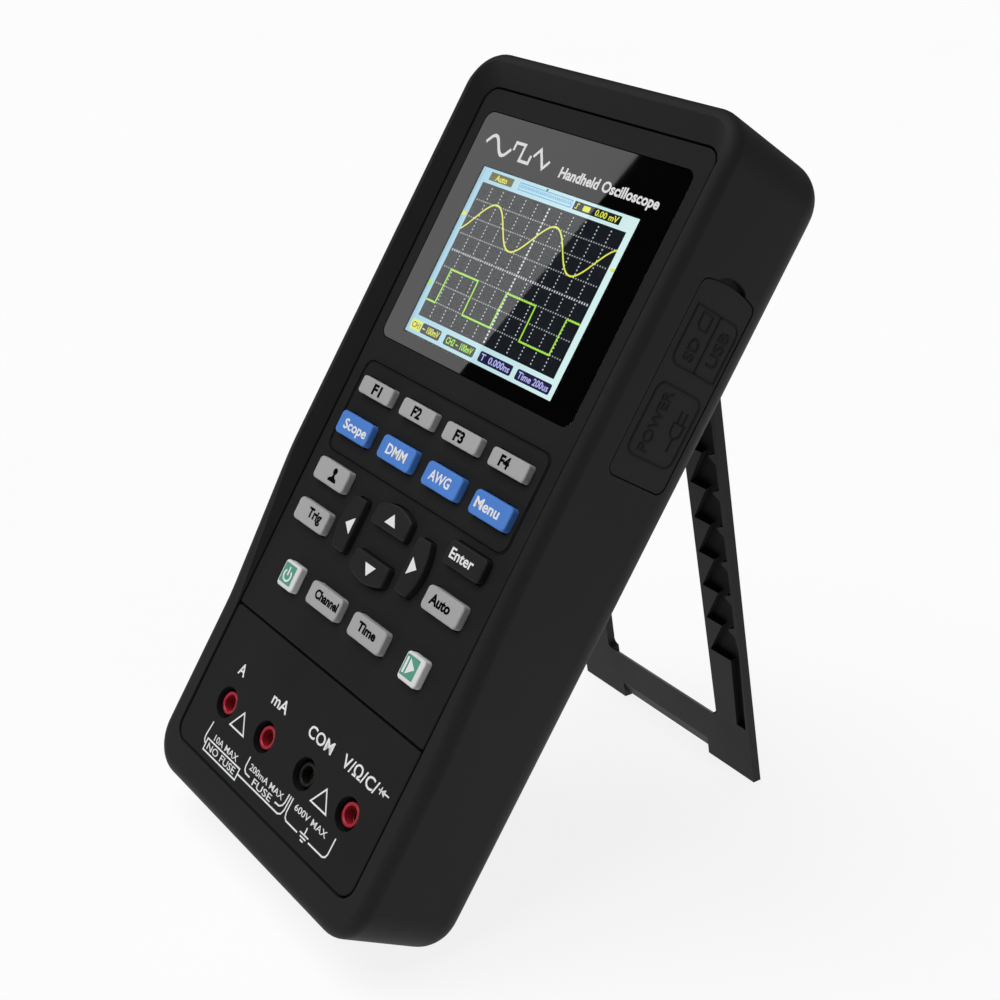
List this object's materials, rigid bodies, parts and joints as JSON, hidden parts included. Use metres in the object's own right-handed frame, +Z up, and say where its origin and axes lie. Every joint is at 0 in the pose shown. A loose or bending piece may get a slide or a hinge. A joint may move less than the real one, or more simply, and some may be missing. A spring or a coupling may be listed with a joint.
{
  "type": "handheld oscilloscope",
  "caption": "Handheld oscilloscope and multimeter in a black rubber boot, with screen, keypad, side port flap and test-lead jacks, leaning back on its fold-out kickstand.",
  "frame": {"origin": "on the floor, under the middle of the whole object as it stands on its kickstand", "axes": "+Z up, the screen and keys face -Y and slightly up, +X to the right of someone facing the screen"},
  "size_m": [0.0944, 0.1426, 0.1869],
  "materials": {
    "rubber_black": "satin moulded rubber",
    "case_plastic": "fine-textured black moulding",
    "panel_plastic": "fine-textured dark grey moulding",
    "lens_glass": "glossy hard-coated window",
    "lcd_cell": "dark display glass",
    "bright_steel": "tinned steel",
    "screw_steel": "blackened steel",
    "white_film": "white moulded plastic",
    "key_grey": "satin light grey",
    "key_blue": "satin blue",
    "key_black": "satin black",
    "key_white": "satin white",
    "board_green": "green solder mask",
    "chip_black": "black moulding compound",
    "nickel": "nickel plate",
    "gold": "gold-plated brass",
    "jack_red": "red insulator",
    "jack_black": "black insulator",
    "fuse_glass": "clear glass tube with metal caps",
    "ribbon_grey": "grey flat cable",
    "cell_wrap": "shrink-wrapped cell"
  },
  "bodies": {
    "chassis": {"backlight": "white_film", "battery_cells": "cell_wrap", "battery_contacts": "gold", "battery_door": "case_plastic", "beeper": "chip_black", "bnc_contacts": "gold", "bnc_insulators": "white_film", "bnc_nuts": "nickel", "bnc_sockets": "nickel", "board_chips": "chip_black", "board_connectors": "chip_black", "board_screws": "screw_steel", "case_screws": "screw_steel", "dome_sheet": "white_film", "door_screws": "screw_steel", "front_panel": "panel_plastic", "fuse": "fuse_glass", "fuse_clips": "bright_steel", "hinge_pin": "bright_steel", "jack_board": "board_green", "jack_contacts": "gold", "jack_panel": "panel_plastic", "jack_sleeve_amps": "jack_red", "jack_sleeve_common": "jack_black", "jack_sleeve_milliamps": "jack_red", "jack_sleeve_volts": "jack_red", "key_board": "board_green", "lcd_bezel": "bright_steel", "lcd_panel": "lcd_cell", "main_board": "board_green", "meter_ribbon": "ribbon_grey", "port_sockets": "bright_steel", "protective_boot": "rubber_black", "rear_case": "case_plastic", "screen_lens": "lens_glass", "sd_socket": "bright_steel", "shield_can": "bright_steel"},
    "key_f1": {"key_f1": "key_grey"},
    "key_f2": {"key_f2": "key_grey"},
    "key_f3": {"key_f3": "key_grey"},
    "key_f4": {"key_f4": "key_grey"},
    "key_scope": {"key_scope": "key_blue"},
    "key_meter": {"key_meter": "key_blue"},
    "key_generator": {"key_generator": "key_blue"},
    "key_menu": {"key_menu": "key_blue"},
    "key_user": {"key_user": "key_grey"},
    "key_trigger": {"key_trigger": "key_grey"},
    "key_enter": {"key_enter": "key_black"},
    "key_auto": {"key_auto": "key_grey"},
    "key_channel": {"key_channel": "key_grey"},
    "key_time": {"key_time": "key_grey"},
    "key_power": {"key_power": "key_white"},
    "key_run": {"key_run": "key_white"},
    "key_up": {"key_up": "key_black"},
    "key_down": {"key_down": "key_black"},
    "key_left": {"key_left": "key_black"},
    "key_right": {"key_right": "key_black"},
    "kickstand": {"kickstand": "case_plastic"},
    "port_flap": {"port_flap": "rubber_black"}
  },
  "joints": [
    {"name": "key_f1_press", "type": "slide", "parent": "chassis", "child": "key_f1", "axis": [0, 0.8682, -0.4963], "range_m": [0, 0.0008], "stiffness_N_per_m": 1500},
    {"name": "key_f2_press", "type": "slide", "parent": "chassis", "child": "key_f2", "axis": [0, 0.8682, -0.4963], "range_m": [0, 0.0008], "stiffness_N_per_m": 1500},
    {"name": "key_f3_press", "type": "slide", "parent": "chassis", "child": "key_f3", "axis": [0, 0.8682, -0.4963], "range_m": [0, 0.0008], "stiffness_N_per_m": 1500},
    {"name": "key_f4_press", "type": "slide", "parent": "chassis", "child": "key_f4", "axis": [0, 0.8682, -0.4963], "range_m": [0, 0.0008], "stiffness_N_per_m": 1500},
    {"name": "key_scope_press", "type": "slide", "parent": "chassis", "child": "key_scope", "axis": [0, 0.8682, -0.4963], "range_m": [0, 0.0008], "stiffness_N_per_m": 1500},
    {"name": "key_meter_press", "type": "slide", "parent": "chassis", "child": "key_meter", "axis": [0, 0.8682, -0.4963], "range_m": [0, 0.0008], "stiffness_N_per_m": 1500},
    {"name": "key_generator_press", "type": "slide", "parent": "chassis", "child": "key_generator", "axis": [0, 0.8682, -0.4963], "range_m": [0, 0.0008], "stiffness_N_per_m": 1500},
    {"name": "key_menu_press", "type": "slide", "parent": "chassis", "child": "key_menu", "axis": [0, 0.8682, -0.4963], "range_m": [0, 0.0008], "stiffness_N_per_m": 1500},
    {"name": "key_user_press", "type": "slide", "parent": "chassis", "child": "key_user", "axis": [0, 0.8682, -0.4963], "range_m": [0, 0.0008], "stiffness_N_per_m": 1500},
    {"name": "key_trigger_press", "type": "slide", "parent": "chassis", "child": "key_trigger", "axis": [0, 0.8682, -0.4963], "range_m": [0, 0.0008], "stiffness_N_per_m": 1500},
    {"name": "key_enter_press", "type": "slide", "parent": "chassis", "child": "key_enter", "axis": [0, 0.8682, -0.4963], "range_m": [0, 0.0008], "stiffness_N_per_m": 1500},
    {"name": "key_auto_press", "type": "slide", "parent": "chassis", "child": "key_auto", "axis": [0, 0.8682, -0.4963], "range_m": [0, 0.0008], "stiffness_N_per_m": 1500},
    {"name": "key_channel_press", "type": "slide", "parent": "chassis", "child": "key_channel", "axis": [0, 0.8682, -0.4963], "range_m": [0, 0.0008], "stiffness_N_per_m": 1500},
    {"name": "key_time_press", "type": "slide", "parent": "chassis", "child": "key_time", "axis": [0, 0.8682, -0.4963], "range_m": [0, 0.0008], "stiffness_N_per_m": 1500},
    {"name": "key_power_press", "type": "slide", "parent": "chassis", "child": "key_power", "axis": [0, 0.8682, -0.4963], "range_m": [0, 0.0008], "stiffness_N_per_m": 1500},
    {"name": "key_run_press", "type": "slide", "parent": "chassis", "child": "key_run", "axis": [0, 0.8682, -0.4963], "range_m": [0, 0.0008], "stiffness_N_per_m": 1500},
    {"name": "key_up_press", "type": "slide", "parent": "chassis", "child": "key_up", "axis": [0, 0.8682, -0.4963], "range_m": [0, 0.0008], "stiffness_N_per_m": 1500},
    {"name": "key_down_press", "type": "slide", "parent": "chassis", "child": "key_down", "axis": [0, 0.8682, -0.4963], "range_m": [0, 0.0008], "stiffness_N_per_m": 1500},
    {"name": "key_left_press", "type": "slide", "parent": "chassis", "child": "key_left", "axis": [0, 0.8682, -0.4963], "range_m": [0, 0.0008], "stiffness_N_per_m": 1500},
    {"name": "key_right_press", "type": "slide", "parent": "chassis", "child": "key_right", "axis": [0, 0.8682, -0.4963], "range_m": [0, 0.0008], "stiffness_N_per_m": 1500},
    {"name": "kickstand_fold", "type": "hinge", "parent": "chassis", "child": "kickstand", "pos_m": [0, 0.03461, 0.12904], "axis": [-1, 0, 0], "range_deg": [0, 44.84]},
    {"name": "port_flap_open", "type": "hinge", "parent": "chassis", "child": "port_flap", "pos_m": [0.0472, 0.00023, 0.10959], "axis": [0, 0.8682, -0.4963], "range_deg": [0, 95]}
  ]
}
